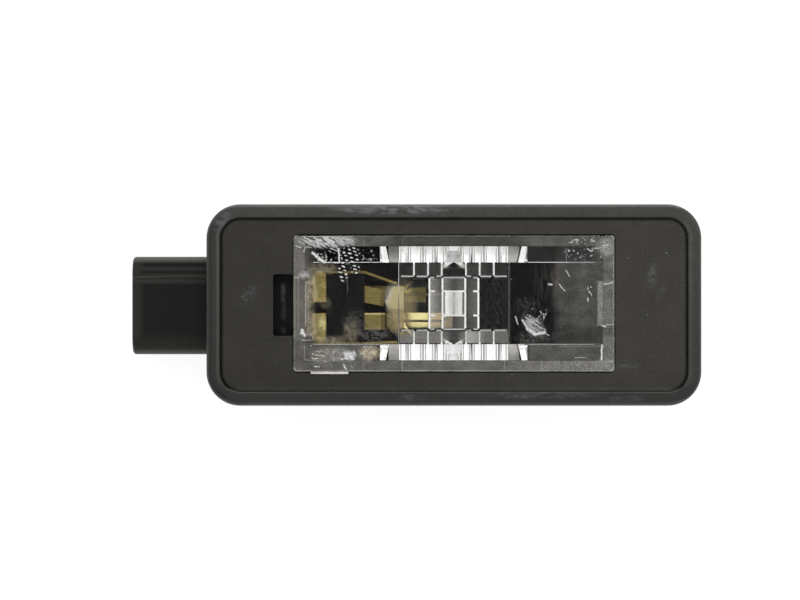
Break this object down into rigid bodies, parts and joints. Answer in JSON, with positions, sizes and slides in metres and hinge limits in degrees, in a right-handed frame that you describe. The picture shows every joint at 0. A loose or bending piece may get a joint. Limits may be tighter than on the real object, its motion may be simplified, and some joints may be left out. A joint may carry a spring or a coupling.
{
  "type": "number plate lamp",
  "caption": "Number plate lamp with a rubber-sealed rectangular face, a clear lens with prism rows, a wedge bulb in a black snap-in housing and a plug connector at one end.",
  "frame": {"origin": "centre of the seal's seat, in the plane of the panel's outer skin", "axes": "+X along the lamp away from the connector, +Y across it, +Z out of the lens"},
  "size_m": [0.0929, 0.0326, 0.0188],
  "materials": {
    "seal_rubber": "matt black rubber, lightly scuffed",
    "black_plastic": "fine-grained black moulding",
    "clear_lens": "clear polished plastic",
    "bulb_glass": "clear glass",
    "tungsten": "dull wound wire",
    "lead_wire": "drawn wire",
    "contact_brass": "bright stamped strip"
  },
  "bodies": {
    "root": {"seal": "seal_rubber", "housing": "black_plastic", "lens": "clear_lens", "bulb_glass": "bulb_glass", "bulb_filament": "tungsten", "bulb_lead_wire_upper": "lead_wire", "bulb_lead_wire_lower": "lead_wire", "contact_upper": "contact_brass", "contact_lower": "contact_brass"}
  },
  "joints": []
}
